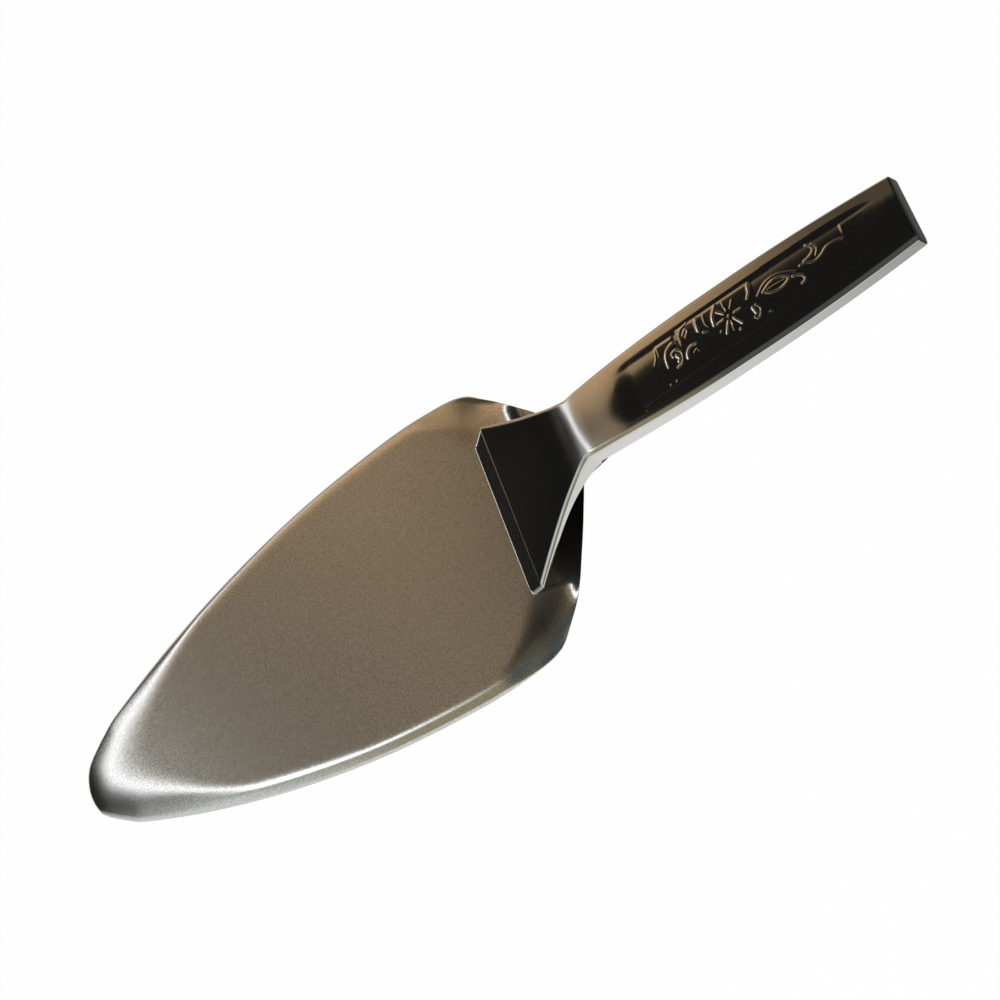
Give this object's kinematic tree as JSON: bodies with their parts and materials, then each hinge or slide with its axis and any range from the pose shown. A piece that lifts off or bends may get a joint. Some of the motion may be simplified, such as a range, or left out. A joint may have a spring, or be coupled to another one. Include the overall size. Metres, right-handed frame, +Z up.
{
  "type": "cake server",
  "caption": "Leaf-shaped steel cake server with a rolled-down rim, cranked heel and hollow embossed grip; it rests on the blade's rim.",
  "frame": {"origin": "centre of the part's footprint box, on the plane that the blade's rim rests on", "axes": "+X from the blade's tip to the grip's butt, +Z up, the part is symmetric about the XZ plane"},
  "size_m": [0.2605, 0.0672, 0.0222],
  "materials": {
    "blade_satin": "satin stainless steel",
    "handle_polished": "mirror-polished stainless steel",
    "belly_polished": "polished stainless steel",
    "cap_dark": "dark moulded plastic",
    "weld_steel": "bare weld metal"
  },
  "bodies": {
    "root": {"blade": "blade_satin", "handle_top": "handle_polished", "handle_back": "belly_polished", "end_cap": "cap_dark", "spot_welds": "weld_steel"}
  },
  "joints": []
}
